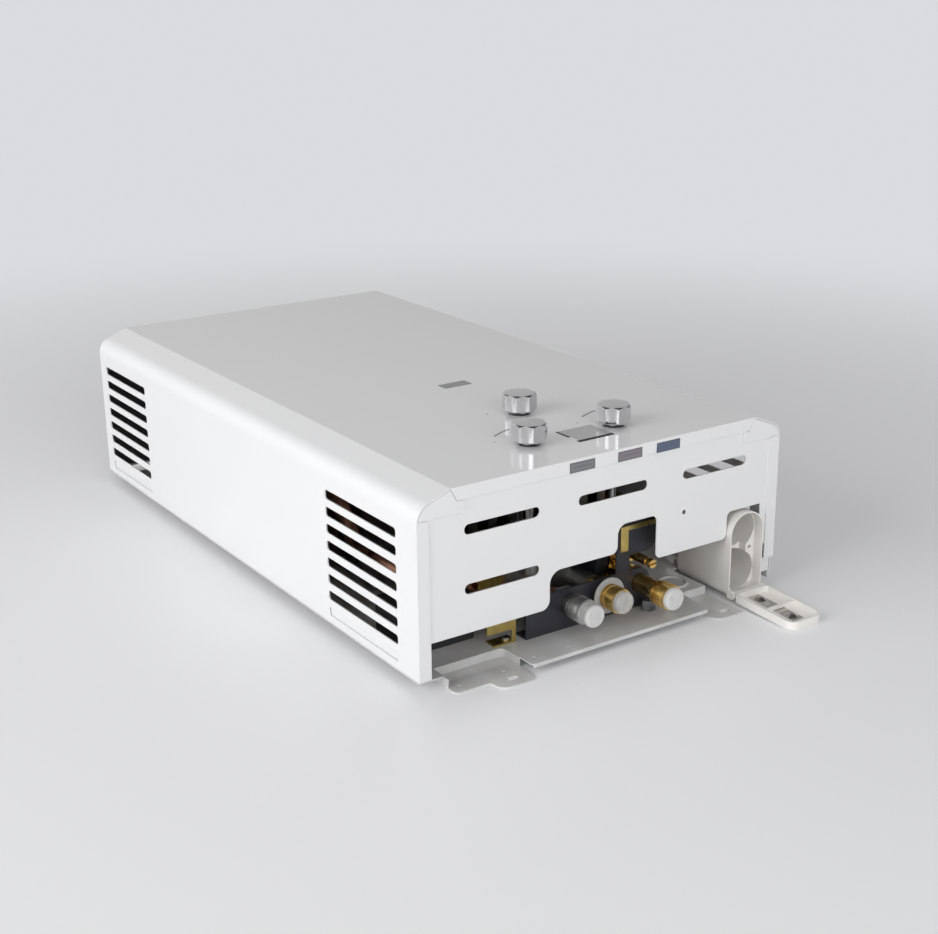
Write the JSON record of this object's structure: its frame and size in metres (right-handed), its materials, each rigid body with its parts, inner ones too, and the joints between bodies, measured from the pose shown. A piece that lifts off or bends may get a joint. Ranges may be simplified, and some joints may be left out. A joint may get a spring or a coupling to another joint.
{
  "type": "portable gas water heater",
  "caption": "Flat white tankless propane water heater lying on its back, with louvred cover, chrome knobs, capped connections and an open battery case",
  "frame": {"origin": "centre of the four wall-screw slots, in the wall plane", "axes": "X across the casing, Y from the connection end to the exhaust end, Z out of the wall towards the front face"},
  "size_m": [0.366, 0.727, 0.1787],
  "materials": {
    "white_enamel": "powder-coated sheet steel, satin white",
    "galvanised": "galvanised sheet steel",
    "chromated": "zinc-plated steel with yellow chromate",
    "chrome_knob": "polished chrome plating",
    "black_plastic": "black moulded plastic",
    "marker_grey": "printed mid-grey",
    "marker_mauve": "printed mauve-grey",
    "marker_blue": "printed slate blue",
    "display_pane": "tinted acrylic",
    "mica": "sight glass",
    "board": "solder-masked circuit board",
    "steel": "plain turned steel",
    "brass": "machined brass",
    "grey_plastic": "grey polyethylene cap",
    "cast_alloy": "die-cast aluminium",
    "dark_alloy": "dark coated casting",
    "rubber": "moulded rubber",
    "copper": "drawn copper",
    "white_plastic": "white moulded plastic",
    "ceramic": "glazed ceramic",
    "silicone": "white silicone insulation",
    "nickel": "nickel-plated spring steel"
  },
  "bodies": {
    "casing": {"battery_case": "white_plastic", "burner_row": "steel", "cell_contacts": "nickel", "cold_fitting": "brass", "cold_marker": "marker_blue", "cold_pipe": "copper", "combustion_chamber": "copper", "connection_bracket": "dark_alloy", "core_saddles": "galvanised", "cover_stud": "galvanised", "display_board": "board", "display_lens": "display_pane", "electrodes": "ceramic", "exchanger_tube": "copper", "exhaust_hood": "galvanised", "exhaust_panel": "white_enamel", "fin_pack": "copper", "flow_switch": "black_plastic", "front_cover": "white_enamel", "gas_collar": "black_plastic", "gas_disc": "steel", "gas_fitting": "brass", "gas_jets": "brass", "gas_manifold": "cast_alloy", "gas_marker": "marker_mauve", "gas_solenoid": "steel", "gas_valve": "cast_alloy", "gold_angle": "chromated", "hot_fitting": "steel", "hot_marker": "marker_grey", "hot_pipe": "copper", "igniter": "black_plastic", "ignition_lead": "silicone", "inlet_panel": "white_enamel", "overheat_switch": "steel", "screws": "steel", "season_collar": "black_plastic", "sight_window": "mica", "signal_leads": "silicone", "union_nuts": "brass", "valve_diaphragm": "rubber", "valve_shield": "chromated", "wall_plate": "white_enamel", "water_collar": "black_plastic", "water_valve_body": "brass", "water_valve_cover": "dark_alloy"},
    "gas_control": {"gas_knob": "chrome_knob", "gas_spindle": "steel"},
    "water_control": {"water_knob": "chrome_knob", "water_spindle": "steel"},
    "season_control": {"season_knob": "chrome_knob", "season_spindle": "steel"},
    "hot_dust_cap": {"hot_cap": "grey_plastic"},
    "gas_dust_cap": {"gas_cap": "grey_plastic"},
    "cold_dust_cap": {"cold_cap": "grey_plastic"},
    "door": {"battery_door": "white_plastic", "door_contact": "nickel"},
    "drain": {"drain_screw": "brass"},
    "interlock": {"thrust_pin": "steel"},
    "lever": {"switch_lever": "nickel"}
  },
  "joints": [
    {"name": "gas_turn", "type": "hinge", "parent": "casing", "child": "gas_control", "pos_m": [-0.043, -0.2563, 0.1627], "axis": [0, 0, 1], "range_deg": [-135, 135]},
    {"name": "water_turn", "type": "hinge", "parent": "casing", "child": "water_control", "pos_m": [0.0435, -0.2563, 0.1627], "axis": [0, 0, 1], "range_deg": [-135, 135]},
    {"name": "season_turn", "type": "hinge", "parent": "casing", "child": "season_control", "pos_m": [0.0003, -0.1832, 0.1627], "axis": [0, 0, 1], "range_deg": [-45, 45]},
    {"name": "hot_cap_pull", "type": "slide", "parent": "casing", "child": "hot_dust_cap", "axis": [0, -1, 0], "range_m": [0, 0.03]},
    {"name": "gas_cap_pull", "type": "slide", "parent": "casing", "child": "gas_dust_cap", "axis": [0, -1, 0], "range_m": [0, 0.03]},
    {"name": "cold_cap_pull", "type": "slide", "parent": "casing", "child": "cold_dust_cap", "axis": [0, -1, 0], "range_m": [0, 0.03]},
    {"name": "door_hinge", "type": "hinge", "parent": "casing", "child": "door", "pos_m": [0.1461, -0.3174, 0.0065], "axis": [-1, 0, 0], "range_deg": [0, 92.4]},
    {"name": "drain_turn", "type": "hinge", "parent": "casing", "child": "drain", "pos_m": [0.047, -0.309, 0.052], "axis": [0, 1, 0], "range_deg": [0, 360]},
    {"name": "pin_slide", "type": "slide", "parent": "casing", "child": "interlock", "axis": [-1, 0, 0], "range_m": [0, 0.003]},
    {"name": "lever_swing", "type": "hinge", "parent": "casing", "child": "lever", "pos_m": [0.0094, -0.236, 0.0686], "axis": [0, 1, 0], "range_deg": [0, 9.26]}
  ],
  "couplings": [
    {"joint": "lever_swing", "follows": "pin_slide", "rad_per_m": 53.763}
  ]
}
